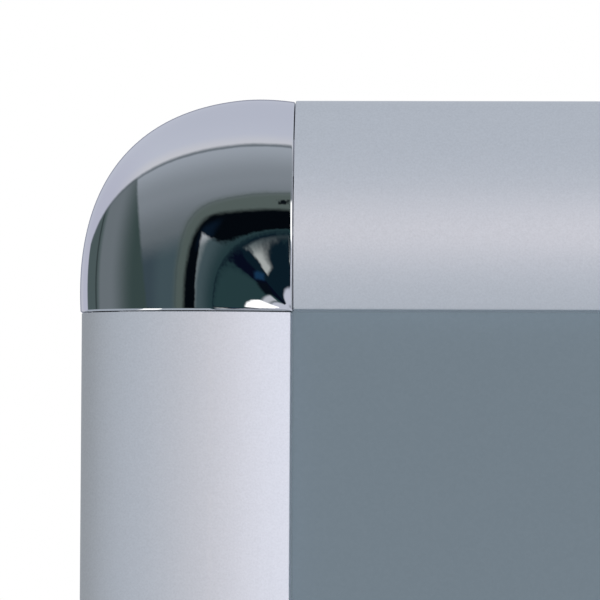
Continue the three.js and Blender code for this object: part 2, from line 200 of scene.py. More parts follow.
def arc(centre, radius_u, radius_v, start, end, steps):
    """Points of an elliptical arc, angles in degrees, both ends included."""
    points = []
    for step in range(steps + 1):
        angle = math.radians(start + (end - start) * step / steps)
        points.append((centre[0] + radius_u * math.cos(angle), centre[1] + radius_v * math.sin(angle)))
    return points


def circle_arc(centre, radius, start, end, steps):
    """Points of a round arc, angles in degrees, both ends included."""
    return arc(centre, radius, radius, start, end, steps)


def crown_curve(depth, end_inset):
    """The rail's crowned front at a depth under its surface, from the upright side to an inset."""
    side_centre = (CROWN_INSET, RAIL_SIDE_HEIGHT)
    side_height = RAIL_DEPTH - RAIL_SIDE_HEIGHT
    side = arc(side_centre, CROWN_INSET - depth, side_height - depth, 180, 90, ELLIPSE_STEPS)
    radius = FALL_RADIUS - depth
    end_angle = math.degrees(math.acos((end_inset - CROWN_INSET) / radius))
    fall = circle_arc((CROWN_INSET, RAIL_DEPTH - FALL_RADIUS), radius, 90, end_angle, FALL_STEPS)
    return side + fall[1:]


def rail_front():
    """The front surface of a front rail, ending in its rounded inner edge."""
    round_run = RAIL_WIDTH - INNER_EDGE_ROUND - CROWN_INSET
    round_angle = math.acos(round_run / (FALL_RADIUS - INNER_EDGE_ROUND))
    round_centre = (
        RAIL_WIDTH - INNER_EDGE_ROUND,
        RAIL_DEPTH - FALL_RADIUS + (FALL_RADIUS - INNER_EDGE_ROUND) * math.sin(round_angle),
    )
    crown = crown_curve(0, CROWN_INSET + FALL_RADIUS * math.cos(round_angle))
    edge = circle_arc(round_centre, INNER_EDGE_ROUND, math.degrees(round_angle), 0, ROUND_STEPS)
    return crown + edge[1:]


def front_rail_section():
    """The closed section of a front rail: hinge socket, underside of the skin, inner lip and front."""
    lip_inset = RAIL_WIDTH - LIP_THICKNESS
    root = circle_arc(HINGE, SOCKET_OUTER_RADIUS, ROOT_ANGLE, ROOT_ANGLE, 1)[0]
    underside = [point for point in crown_curve(RAIL_SKIN, lip_inset) if point[0] > root[0]]
    return [
        *circle_arc(HINGE, SOCKET_OUTER_RADIUS, 180, SOCKET_TO, ROUND_STEPS // 2),
        *circle_arc(HINGE, SOCKET_INNER_RADIUS, SOCKET_TO, SOCKET_FROM, SOCKET_STEPS),
        *circle_arc(HINGE, SOCKET_OUTER_RADIUS, SOCKET_FROM, ROOT_ANGLE, SOCKET_STEPS),
        *underside,
        (lip_inset, LIP_BOTTOM),
        (RAIL_WIDTH, LIP_BOTTOM),
        *reversed(rail_front()),
    ]


def shrunk(outline, distance):
    """The closed outline moved into its material, with mitred corners."""
    pairs = list(zip(outline, outline[1:] + outline[:1]))
    area = sum(a[0] * b[1] - b[0] * a[1] for a, b in pairs)
    hand = 1 if area > 0 else -1
    normals = []
    for a, b in pairs:
        length = math.hypot(b[0] - a[0], b[1] - a[1])
        normals.append((-hand * (b[1] - a[1]) / length, hand * (b[0] - a[0]) / length))
    moved = []
    for index, point in enumerate(outline):
        before, after = normals[index - 1], normals[index]
        scale = distance / (1 + before[0] * after[0] + before[1] * after[1])
        x = point[0] + scale * (before[0] + after[0])
        y = point[1] + scale * (before[1] + after[1])
        moved.append((x, y))
    return moved


# ---------------------------------------------------------------- meshes


def make_piece(name, vertices, faces, scale=MM):
    """A mesh object with its faces pointing out, smooth but for its real edges."""
    mesh = bpy.data.meshes.new(name)
    mesh.from_pydata([Vector(v) * scale for v in vertices], [], faces)
    piece = bpy.data.objects.new(name, mesh)
    bpy.context.scene.collection.objects.link(piece)
    tidy_mesh(piece)
    return piece


def tidy_mesh(piece):
    """Welds doubled points, turns faces outward, splits many-sided ones and marks real edges."""
    work = bmesh.new()
    work.from_mesh(piece.data)
    bmesh.ops.remove_doubles(work, verts=work.verts, dist=SAME_POINT)
    bmesh.ops.dissolve_degenerate(work, edges=work.edges, dist=NO_LENGTH)
    many_sided = [face for face in work.faces if len(face.verts) > 4]
    bmesh.ops.triangulate(work, faces=many_sided, ngon_method="EAR_CLIP")
    bmesh.ops.recalc_face_normals(work, faces=work.faces)
    work.to_mesh(piece.data)
    work.free()
    for polygon in piece.data.polygons:
        polygon.use_smooth = True
    piece.data.set_sharp_from_angle(angle=math.radians(SHARP_ANGLE))


def extrude_section(name, section, length, edge_round):
    """A section of (inset, height) points along X, centred, with both cut ends softened."""
    rings = []
    for end in (-1, 1):
        for step in range(ROUND_STEPS // 2 + 1):
            angle = math.pi / ROUND_STEPS * step
            place = end * (length / 2 - edge_round * (1 - math.cos(angle)))
            rings.append((place, shrunk(section, edge_round * (1 - math.sin(angle)))))
    rings.sort(key=lambda ring: ring[0])
    vertices = [(place, -height, inset) for place, ring in rings for inset, height in ring]
    count = len(section)
    faces = [list(range(count)), list(range(count * (len(rings) - 1), count * len(rings)))]
    for ring in range(len(rings) - 1):
        for index in range(count):
            following = (index + 1) % count
            near, far = ring * count, (ring + 1) * count
            faces.append((near + index, near + following, far + following, far + index))
    return make_piece(name, vertices, faces)


def put(piece, turns, x, z):
    """Places a piece that was made in the frame of a side or corner."""
    turn = Matrix.Rotation(turns * math.pi / 2, 4, "Y")
    piece.matrix_world = Matrix.Translation((x * MM, 0, z * MM)) @ turn


def weigh_normals(piece):
    """Lets the big faces of a piece rule the shading of the small rounds between them."""
    weigh = piece.modifiers.new("weighted_normals", "WEIGHTED_NORMAL")
    weigh.keep_sharp = True


def dress(piece, material):
    """Gives a piece one material in place of any it has."""
    piece.data.materials.clear()
    piece.data.materials.append(material)


def finish_piece(piece, material, body, node):
    """Gives a piece its material, lets its big faces rule its shading, hangs it on the body it rides on and
    hides the imported piece that it stands for.
    """
    dress(piece, material)
    weigh_normals(piece)
    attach(piece, body)
    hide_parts(node)


def cut(piece, tool):
    """Cuts a tool out of a piece and removes the tool."""
    modifier = piece.modifiers.new("cut", "BOOLEAN")
    modifier.operation = "DIFFERENCE"
    modifier.solver = "EXACT"
    modifier.object = tool
    bpy.context.view_layer.update()
    result = bpy.data.meshes.new_from_object(piece.evaluated_get(bpy.context.evaluated_depsgraph_get()))
    piece.modifiers.clear()
    piece.data = result
    bpy.data.objects.remove(tool)


def block(low, high):
    """A plain cutting block between two corners."""
    corners = [(x, y, z) for x in (low[0], high[0]) for y in (low[1], high[1]) for z in (low[2], high[2])]
    faces = [(0, 1, 3, 2), (4, 6, 7, 5), (0, 4, 5, 1), (2, 3, 7, 6), (0, 2, 6, 4), (1, 5, 7, 3)]
    return make_piece("cutting_block", corners, faces, scale=1)


def rod(radius, x, z, from_height, to_height):
    """A plain cutting rod whose axis points out from the wall."""
    vertices = []
    for height in (from_height, to_height):
        for step in range(ROD_SIDES):
            angle = 2 * math.pi * step / ROD_SIDES
            vertices.append((x + radius * math.cos(angle), -height, z + radius * math.sin(angle)))
    faces = [list(range(ROD_SIDES)), list(range(ROD_SIDES, 2 * ROD_SIDES))]
    for index in range(ROD_SIDES):
        following = (index + 1) % ROD_SIDES
        faces.append((index, following, ROD_SIDES + following, ROD_SIDES + index))
    return make_piece("cutting_rod", vertices, faces, scale=1)


# ---------------------------------------------------------------- corner caps


def cap_outline(angle, out):
    """The cap's outline, measured outward from its inner corner, at an angle in degrees. It dips a little
    beside each seam, where the casting has shrunk, more so at its gate; the dip fades from the outer edge,
    where out is 1, towards the corner, where it is 0."""
    along, across = math.cos(math.radians(angle)), math.sin(math.radians(angle))
    stretch = (abs(along) ** CAP_ROUNDNESS + abs(across) ** CAP_ROUNDNESS) ** (1 / CAP_ROUNDNESS)
    reach = CAP_WIDTH
    for side, dip in ((across, CAP_GATE_DIP), (along, CAP_DIP)):
        near = max(0, 1 - side / stretch * CAP_WIDTH / CAP_DIP_REACH)
        reach -= dip * near**2 * out**3
    return reach * along / stretch, reach * across / stretch


def fan_angles():
    """Angles of the lines that fan out from the inner corner, close together beside each seam."""
    step = 90 / FAN_STEPS
    near = []
    angle = LIP_FIRST_ANGLE
    while angle < step:
        near.append(angle)
        angle *= LIP_GROWTH
    middle = [step * index for index in range(1, FAN_STEPS)]
    return [0, *near, *middle, *(90 - angle for angle in reversed(near)), 90]


def lip_drop(distance):
    """How far the rounded lip lies under the surface at a distance from the seam."""
    if distance >= CAP_LIP_ROUND:
        return 0
    return CAP_LIP_ROUND - math.sqrt(CAP_LIP_ROUND**2 - (CAP_LIP_ROUND - distance) ** 2)


def section_normals(section):
    """Unit normals of an open section of (inset, height) points, pointing out of the cap."""
    normals = []
    for index in range(len(section)):
        a = section[max(index - 1, 0)]
        b = section[min(index + 1, len(section) - 1)]
        length = math.hypot(b[0] - a[0], b[1] - a[1])
        normals.append(((a[1] - b[1]) / length, (b[0] - a[0]) / length))
    return normals


def cap_solid(depth, bottom, past_seam):
    """The solid under the cap's front at a depth below it. It runs past both seams by past_seam, or has a
    rounded lip along them where that is 0."""
    curve = crown_curve(depth - CAP_PROUD, CORNER_LENGTH)
    curve = [(curve[0][0], bottom), *curve]
    normals = section_normals(curve)
    lines = []
    for angle in fan_angles():
        line = []
        for (inset, height), (normal_inset, normal_height) in zip(curve, normals):
            share = 1 - (inset + CAP_PROUD) / CAP_WIDTH
            reach_x, reach_z = cap_outline(angle, share)
            x, z = reach_x * share, reach_z * share
            if not past_seam:
                drop = min(lip_drop(x) + lip_drop(z), CAP_LIP_ROUND)
                away = math.hypot(reach_x, reach_z)
                x += drop * normal_inset * reach_x / away
                z += drop * normal_inset * reach_z / away
                height -= drop * normal_height if height > bottom else 0
            line.append((max(x, 0), max(z, 0), height))
        lines.append(line)
    if past_seam:
        lines.insert(0, [(x, -past_seam, height) for x, _, height in lines[0]])
        lines.append([(-past_seam, z, height) for _, z, height in lines[-1]])
        corner = (-past_seam, -past_seam)
    else:
        corner = (0, 0)
    count = len(curve)
    top_height = lines[0][-1][2]
    vertices = [point for line in lines for point in line]
    vertices += [(*corner, top_height), (*corner, bottom)]
    top_corner, bottom_corner = len(vertices) - 2, len(vertices) - 1
    faces = []
    for row in range(len(lines) - 1):
        near, far = row * count, (row + 1) * count
        faces += [(near + i, far + i, far + i + 1, near + i + 1) for i in range(count - 1)]
        faces.append((near + count - 1, far + count - 1, top_corner))
        faces.append((near, bottom_corner, far))
    last = (len(lines) - 1) * count
    faces.append([*range(count), top_corner, bottom_corner])
    faces.append([*range(last + count - 1, last - 1, -1), bottom_corner, top_corner])
    placed = [(CORNER_LENGTH - x, -height, CORNER_LENGTH - z) for x, z, height in vertices]
    return make_piece("cap_solid", placed, faces, scale=1)


def cap_mesh():
    """The chromed shell: dome, seam webs and the boss for the screw from the back."""
    web_edge = CORNER_LENGTH - CAP_WEB
    past = CORNER_LENGTH + 2 * CUT_PAST
    front = -(RAIL_DEPTH + 2 * CUT_PAST)
    cavity = cap_solid(CAP_SKIN, -CUT_PAST, CUT_PAST)
    cut(cavity, block((web_edge, front, -CUT_PAST), (past, -LIP_BOTTOM, past)))
    cut(cavity, block((-CUT_PAST, front, web_edge), (past, -LIP_BOTTOM, past)))
    cut(cavity, rod(BOSS_RADIUS, BOSS_PLACE, BOSS_PLACE, BOSS_BOTTOM, -front))
    cap = cap_solid(0, CAP_BOTTOM, 0)
    cut(cap, cavity)
    cut(cap, rod(PILOT_RADIUS, BOSS_PLACE, BOSS_PLACE, 0, PILOT_TOP))
    cap.data.transform(Matrix.Scale(MM, 4))
    tidy_mesh(cap)
    mesh = cap.data
    bpy.data.objects.remove(cap)
    return mesh


# ---------------------------------------------------------------- wiring of shader nodes


def linear(red, green, blue):
    """A colour given in display values from 0 to 255, as the linear values that shaders use."""
    channels = []
    for value in (red, green, blue):
        share = value / 255
        channels.append(share / 12.92 if share <= 0.04045 else ((share + 0.055) / 1.055) ** 2.4)
    return (*channels, 1)


class Wiring:
    """Adds nodes to one node tree and links them. An input takes a plain value or another node's output."""

    def __init__(self, tree):
        self.tree = tree

    def node(self, kind, **settings):
        made = self.tree.nodes.new(kind)
        for name, value in settings.items():
            setattr(made, name, value)
        return made

    def feed(self, socket, value):
        if isinstance(value, bpy.types.NodeSocket):
            self.tree.links.new(value, socket)
        else:
            socket.default_value = value

    def maths(self, operation, *values):
        made = self.node("ShaderNodeMath", operation=operation)
        for socket, value in zip(made.inputs, values):
            self.feed(socket, value)
        return made.outputs[0]

    def rise(self, value, low, high, to_low=0.0, to_high=1.0):
        """Smoothly from to_low to to_high as the value goes from low to high; high may be the smaller."""
        made = self.node("ShaderNodeMapRange", interpolation_type="SMOOTHSTEP")
        for socket, given in zip(made.inputs, (value, low, high, to_low, to_high)):
            self.feed(socket, given)
        return made.outputs[0]

    def product(self, *values):
        result = values[0]
        for value in values[1:]:
            result = self.maths("MULTIPLY", result, value)
        return result

    def mix(self, factor, first, second, blend="MIX"):
        made = self.node("ShaderNodeMix", data_type="RGBA", blend_type=blend)
        self.feed(made.inputs[0], factor)
        self.feed(made.inputs[6], first)
        self.feed(made.inputs[7], second)
        return made.outputs[2]

    def noise(self, vector, scale, detail=2.0, roughness=0.5):
        made = self.node("ShaderNodeTexNoise")
        self.feed(made.inputs["Vector"], vector)
        self.feed(made.inputs["Scale"], scale)
        self.feed(made.inputs["Detail"], detail)
        self.feed(made.inputs["Roughness"], roughness)
        return made.outputs[0]

    def stretched(self, vector, factors):
        made = self.node("ShaderNodeVectorMath", operation="MULTIPLY")
        self.feed(made.inputs[0], vector)
        made.inputs[1].default_value = factors
        return made.outputs[0]

    def place(self):
        """Coordinates fixed to the piece, in metres."""
        return self.node("ShaderNodeTexCoord").outputs["Object"]

    def bump(self, height, strength, distance):
        made = self.node("ShaderNodeBump")
        self.feed(made.inputs["Strength"], strength)
        self.feed(made.inputs["Distance"], distance)
        self.feed(made.inputs["Height"], height)
        return made.outputs[0]

    def group(self, group, **inputs):
        """Places a node group; inputs are given by name, with _ for a space."""
        made = self.node("ShaderNodeGroup", node_tree=group)
        for name, value in inputs.items():
            self.feed(made.inputs[name.replace("_", " ")], value)
        return made.outputs


def new_group(name, inputs, outputs):
    """An empty shader node group. Inputs are (name, socket kind, default), outputs (name, socket kind)."""
    group = bpy.data.node_groups.new(name, "ShaderNodeTree")
    for title, kind, default in inputs:
        socket = group.interface.new_socket(title, in_out="INPUT", socket_type=kind)
        if default is not None:
            socket.default_value = default
    for title, kind in outputs:
        group.interface.new_socket(title, in_out="OUTPUT", socket_type=kind)
    wires = Wiring(group)
    return wires, wires.node("NodeGroupInput").outputs, wires.node("NodeGroupOutput").inputs


VECTOR = "NodeSocketVector"
FLOAT = "NodeSocketFloat"


def fine_grain_group():
    """An even, fine grain: etched metal, moulded plastic, linoleum skin."""
    wires, given, out = new_group(
        "fine_grain",
        [("Place", VECTOR, None), ("Grains per metre", FLOAT, 4000.0), ("Contrast", FLOAT, 0.05)],
        [("Shade", FLOAT), ("Height", FLOAT)],
    )
    grain = wires.noise(given["Place"], given["Grains per metre"], detail=3, roughness=0.65)
    centred = wires.maths("SUBTRACT", grain, 0.5)
    shade = wires.maths("MULTIPLY_ADD", centred, given["Contrast"], 1.0)
    wires.feed(out["Shade"], shade)
    wires.feed(out["Height"], grain)
    return wires.tree


def draw_lines_group():
    """Straight lines that a die leaves along an extruded or rolled piece. They run along the axis that
    Place has been shrunk in."""
    wires, given, out = new_group(
        "draw_lines",
        [("Place", VECTOR, None), ("Lines per metre", FLOAT, 2500.0), ("Contrast", FLOAT, 0.1)],
        [("Shade", FLOAT), ("Height", FLOAT)],
    )
    fine = wires.noise(given["Place"], given["Lines per metre"], detail=4, roughness=0.7)
    wide_scale = wires.maths("MULTIPLY", given["Lines per metre"], 0.12)
    wide = wires.noise(given["Place"], wide_scale, detail=2)
    lines = wires.maths("ADD", wires.product(fine, 0.65), wires.product(wide, 0.35))
    centred = wires.maths("SUBTRACT", lines, 0.5)
    shade = wires.maths("MULTIPLY_ADD", centred, given["Contrast"], 1.0)
    wires.feed(out["Shade"], shade)
    wires.feed(out["Height"], lines)
    return wires.tree


def handling_group():
    """Soft patches where hands and cloths have been: a mask from 0 to 1."""
    wires, given, out = new_group(
        "handling",
        [("Place", VECTOR, None), ("Patches per metre", FLOAT, 25.0), ("Cover", FLOAT, 0.4)],
        [("Mask", FLOAT)],
    )
    patches = wires.noise(given["Place"], given["Patches per metre"], detail=4, roughness=0.6)
    low = wires.maths("SUBTRACT", 0.75, wires.product(given["Cover"], 0.5))
    high = wires.maths("ADD", low, 0.2)
    wires.feed(out["Mask"], wires.rise(patches, low, high))
    return wires.tree


def edge_wear_group():
    """Where an outward edge has been rubbed: a mask from 0 to 1, broken up along the edge."""
    wires, given, out = new_group(
        "edge_wear",
        [("Place", VECTOR, None), ("Reach", FLOAT, 0.06), ("Breaks per metre", FLOAT, 300.0)],
        [("Mask", FLOAT)],
    )
    pointed = wires.node("ShaderNodeNewGeometry").outputs["Pointiness"]
    high = wires.maths("ADD", 0.51, given["Reach"])
    edge = wires.rise(pointed, 0.51, high)
    breaks = wires.rise(wires.noise(given["Place"], given["Breaks per metre"], detail=3), 0.35, 0.6)
    wires.feed(out["Mask"], wires.product(edge, breaks))
    return wires.tree


def granule_group():
    """Pressed granules, each with its own shade, with darker binder between them."""
    wires, given, out = new_group(
        "granules",
        [("Place", VECTOR, None), ("Granules per metre", FLOAT, 500.0), ("Unevenness", FLOAT, 0.004)],
        [("Tone", FLOAT), ("Binder", FLOAT), ("Height", FLOAT)],
    )
    drift = wires.node("ShaderNodeTexNoise")
    wires.feed(drift.inputs["Vector"], given["Place"])
    wires.feed(drift.inputs["Scale"], wires.maths("MULTIPLY", given["Granules per metre"], 0.7))
    pushed = wires.node("ShaderNodeVectorMath", operation="MULTIPLY_ADD")
    wires.feed(pushed.inputs[0], drift.outputs["Color"])
    spread = wires.node("ShaderNodeCombineXYZ")
    for socket in spread.inputs:
        wires.feed(socket, given["Unevenness"])
    wires.feed(pushed.inputs[1], spread.outputs[0])
    wires.feed(pushed.inputs[2], given["Place"])
    cells = wires.node("ShaderNodeTexVoronoi")
    wires.feed(cells.inputs["Vector"], pushed.outputs[0])
    wires.feed(cells.inputs["Scale"], given["Granules per metre"])
    edges = wires.node("ShaderNodeTexVoronoi", feature="DISTANCE_TO_EDGE")
    wires.feed(edges.inputs["Vector"], pushed.outputs[0])
    wires.feed(edges.inputs["Scale"], given["Granules per metre"])
    tone = wires.node("ShaderNodeSeparateColor")
    wires.feed(tone.inputs[0], cells.outputs["Color"])
    wires.feed(out["Tone"], tone.outputs[0])
    wires.feed(out["Binder"], wires.rise(edges.outputs["Distance"], 0.09, 0.0))
    wires.feed(out["Height"], wires.rise(edges.outputs["Distance"], 0.0, 0.25))
    return wires.tree


FINE_GRAIN = fine_grain_group()
DRAW_LINES = draw_lines_group()
HANDLING = handling_group()
EDGE_WEAR = edge_wear_group()
GRANULES = granule_group()

# ---------------------------------------------------------------- finishes


def new_material(name):
    """A material with its wiring and its principled shader."""
    material = bpy.data.materials.new(name)
    material.use_nodes = True
    wires = Wiring(material.node_tree)
    shader = next(node for node in material.node_tree.nodes if node.type == "BSDF_PRINCIPLED")
    return material, wires, shader.inputs


def shaded(wires, colour, *shades):
    """A colour multiplied by one or more shades that stay around 1."""
    shade = wires.product(*shades)
    return wires.mix(1.0, colour, shade, blend="MULTIPLY")


def satin_aluminium():
    """Etched and anodised rails: a soft, even sheen with hardly visible grain along the rail."""
    material, wires, shader = new_material("satin_aluminium")
    place = wires.place()
    grain = wires.group(FINE_GRAIN, Place=place, Grains_per_metre=3200.0, Contrast=0.24)
    along = wires.stretched(place, (0.01, 1, 1))
    lines = wires.group(DRAW_LINES, Place=along, Lines_per_metre=900.0, Contrast=0.05)
    touched = wires.group(HANDLING, Place=place, Patches_per_metre=14.0, Cover=0.3)["Mask"]
    worn = wires.group(EDGE_WEAR, Place=place, Reach=0.05, Breaks_per_metre=260.0)["Mask"]
    colour = shaded(wires, linear(233, 235, 239), grain["Shade"], lines["Shade"])
    wires.feed(shader["Base Color"], wires.mix(wires.product(worn, 0.35), colour, linear(240, 240, 242)))
    shader["Metallic"].default_value = 1
    rough = wires.maths("MULTIPLY_ADD", touched, -0.012, 0.34)
    wires.feed(shader["Roughness"], wires.product(rough, lines["Shade"]))
    wires.feed(shader["Normal"], wires.bump(grain["Height"], 0.05, 0.0002))
    return material


def mill_aluminium(name, stretch):
    """Base rails as they leave the die: fine lines along the rail, with a few broader, duller bands."""
    material, wires, shader = new_material(name)
    along = wires.stretched(wires.place(), stretch)
    lines = wires.group(DRAW_LINES, Place=along, Lines_per_metre=2200.0, Contrast=0.55)
    bands = wires.rise(wires.noise(along, 160.0, detail=2), 0.42, 0.62)
    colour = wires.mix(wires.product(bands, 0.5), linear(216, 218, 221), linear(196, 199, 204))
    wires.feed(shader["Base Color"], shaded(wires, colour, lines["Shade"]))
    shader["Metallic"].default_value = 1
    wires.feed(shader["Roughness"], wires.maths("MULTIPLY_ADD", bands, 0.05, 0.36))
    wires.feed(shader["Normal"], wires.bump(lines["Height"], 0.15, 0.0002))
    return material


def chrome_plate():
    """Polished chrome on the caps: a clear mirror over a faintly wavy casting, with a trace of haze."""
    material, wires, shader = new_material("chrome_plate")
    place = wires.place()
    haze = wires.group(HANDLING, Place=place, Patches_per_metre=90.0, Cover=0.25)["Mask"]
    colour = wires.mix(wires.product(haze, 0.25), linear(246, 247, 249), linear(232, 235, 240))
    wires.feed(shader["Base Color"], colour)
    shader["Metallic"].default_value = 1
    shader["Roughness"].default_value = 0
    waves = wires.noise(place, 500.0, detail=2)
    wires.feed(shader["Normal"], wires.bump(waves, 0.012, 0.0003))
    return material


def slate_linoleum():
    """The pin face: cork-linoleum in slate, with granules that show only close by."""
    material, wires, shader = new_material("slate_linoleum")
    place = wires.place()
    granules = wires.group(GRANULES, Place=place, Granules_per_metre=2100.0, Unevenness=0.0004)
    grain = wires.group(FINE_GRAIN, Place=place, Grains_per_metre=7000.0, Contrast=0.015)
    clouds = wires.noise(place, 6.0, detail=2)
    tone = wires.mix(granules["Tone"], linear(114, 127, 137), linear(116, 129, 139))
    tone = wires.mix(wires.product(granules["Binder"], 0.03), tone, linear(92, 104, 114))
    drift = wires.rise(clouds, 0.3, 0.7, 0.997, 1.003)
    wires.feed(shader["Base Color"], shaded(wires, tone, grain["Shade"], drift))
    shader["Roughness"].default_value = 0.85
    shader["Specular IOR Level"].default_value = 0.25
    wires.feed(shader["Normal"], wires.bump(granules["Height"], 0.02, 0.0001))
    return material


def natural_cork():
    """The core: pressed granules from pale to bark brown, with dark flecks."""
    material, wires, shader = new_material("natural_cork")
    place = wires.place()
    coarse = wires.group(GRANULES, Place=place, Granules_per_metre=520.0, Unevenness=0.0016)
    fine = wires.group(GRANULES, Place=place, Granules_per_metre=1500.0, Unevenness=0.0005)
    grain = wires.group(FINE_GRAIN, Place=place, Grains_per_metre=3500.0, Contrast=0.3)
    tone = wires.mix(coarse["Tone"], linear(150, 106, 64), linear(214, 171, 121))
    tone = wires.mix(wires.rise(fine["Tone"], 0.82, 0.94), tone, linear(92, 58, 34))
    tone = wires.mix(wires.product(coarse["Binder"], 0.7), tone, linear(110, 74, 44))
    wires.feed(shader["Base Color"], shaded(wires, tone, grain["Shade"]))
    shader["Roughness"].default_value = 0.92
    shader["Specular IOR Level"].default_value = 0.2
    height = wires.maths("ADD", coarse["Height"], wires.product(grain["Height"], 0.4))
    wires.feed(shader["Normal"], wires.bump(height, 0.6, 0.0004))
    return material


def hardboard():
    """The backing board: pressed fibres, with the print of the press's wire screen."""
    material, wires, shader = new_material("hardboard")
    place = wires.place()
    fibres = wires.noise(wires.stretched(place, (1, 1, 0.35)), 900.0, detail=5, roughness=0.7)
    crossed = wires.noise(wires.stretched(place, (0.35, 1, 1)), 700.0, detail=5, roughness=0.7)
    blotches = wires.noise(place, 14.0, detail=4, roughness=0.6)
    tone = wires.mix(wires.rise(fibres, 0.3, 0.7), linear(104, 74, 50), linear(150, 113, 80))
    tone = wires.mix(wires.rise(crossed, 0.5, 0.75, 0.0, 0.6), tone, linear(168, 132, 97))
    shade = wires.rise(blotches, 0.3, 0.7, 0.9, 1.06)
    parts = wires.node("ShaderNodeSeparateXYZ")
    wires.feed(parts.inputs[0], place)
    wire_x = wires.maths("SINE", wires.product(parts.outputs["X"], 2 * math.pi / SCREEN_STEP))
    wire_z = wires.maths("SINE", wires.product(parts.outputs["Z"], 2 * math.pi / SCREEN_STEP))
    screen = wires.product(wire_x, wire_z)
    wires.feed(shader["Base Color"], shaded(wires, tone, shade, wires.rise(screen, -0.6, 0.6, 0.9, 1.04)))
    wires.feed(shader["Roughness"], wires.rise(blotches, 0.3, 0.7, 0.7, 0.8))
    height = wires.maths("ADD", screen, wires.product(fibres, 1.5))
    wires.feed(shader["Normal"], wires.bump(height, 0.5, 0.00015))
    return material


def black_nylon():
    """Corner blocks: moulded nylon with a spark-eroded grain, shinier where hands have been."""
    material, wires, shader = new_material("black_nylon")
    place = wires.place()
    grain = wires.group(FINE_GRAIN, Place=place, Grains_per_metre=3200.0, Contrast=0.3)
    touched = wires.group(HANDLING, Place=place, Patches_per_metre=40.0, Cover=0.4)["Mask"]
    wires.feed(shader["Base Color"], shaded(wires, linear(40, 41, 44), grain["Shade"]))
    wires.feed(shader["Roughness"], wires.maths("MULTIPLY_ADD", touched, -0.04, 0.58))
    wires.feed(shader["Normal"], wires.bump(grain["Height"], 0.35, 0.0002))
    return material


def spring_steel():
    """Clips: rolled strip, blued a little by hardening."""
    material, wires, shader = new_material("spring_steel")
    place = wires.place()
    along = wires.stretched(place, (0.05, 1, 1))
    lines = wires.group(DRAW_LINES, Place=along, Lines_per_metre=2600.0, Contrast=0.3)
    tint = wires.group(HANDLING, Place=place, Patches_per_metre=40.0, Cover=0.5)["Mask"]
    worn = wires.group(EDGE_WEAR, Place=place, Reach=0.08, Breaks_per_metre=700.0)["Mask"]
    colour = wires.mix(tint, linear(172, 175, 180), linear(158, 165, 178))
    colour = shaded(wires, colour, lines["Shade"])
    wires.feed(shader["Base Color"], wires.mix(wires.product(worn, 0.6), colour, linear(225, 226, 228)))
    shader["Metallic"].default_value = 1
    wires.feed(shader["Roughness"], wires.maths("MULTIPLY_ADD", tint, 0.08, 0.24))
    wires.feed(shader["Normal"], wires.bump(lines["Height"], 0.15, 0.0001))
    return material


def zinc_plate():
    """Screws: bright zinc, slightly yellowed in patches."""
    material, wires, shader = new_material("zinc_plate")
    place = wires.place()
    grain = wires.group(FINE_GRAIN, Place=place, Grains_per_metre=5000.0, Contrast=0.2)
    tint = wires.group(HANDLING, Place=place, Patches_per_metre=400.0, Cover=0.5)["Mask"]
    worn = wires.group(EDGE_WEAR, Place=place, Reach=0.1, Breaks_per_metre=900.0)["Mask"]
    colour = wires.mix(tint, linear(196, 200, 204), linear(203, 199, 182))
    colour = shaded(wires, colour, grain["Shade"])
    wires.feed(shader["Base Color"], wires.mix(wires.product(worn, 0.5), colour, linear(232, 233, 235)))
    shader["Metallic"].default_value = 1
    wires.feed(shader["Roughness"], wires.maths("MULTIPLY_ADD", tint, 0.1, 0.28))
    wires.feed(shader["Normal"], wires.bump(grain["Height"], 0.15, 0.0001))
    return material


# ---------------------------------------------------------------- camera


def make_camera():
    """A long lens, a little to the right of the top left corner and below it."""
    data = bpy.data.cameras.new("camera")
    data.lens = LENS_LENGTH
    camera = bpy.data.objects.new("camera", data)
    bpy.context.scene.collection.objects.link(camera)
    corner = Vector((-RIGHT, 0, TOP)) * MM
    aim = corner + Vector(CAMERA_AIM) * MM
    camera.location = corner + Vector(CAMERA_PLACE) * MM
    camera.rotation_mode = "QUATERNION"
    level = (aim - camera.location).to_track_quat("-Z", "Y")
    camera.rotation_quaternion = level @ Quaternion((0, 0, 1), math.radians(CAMERA_ROLL))
    bpy.context.scene.camera = camera


# ---------------------------------------------------------------- studio


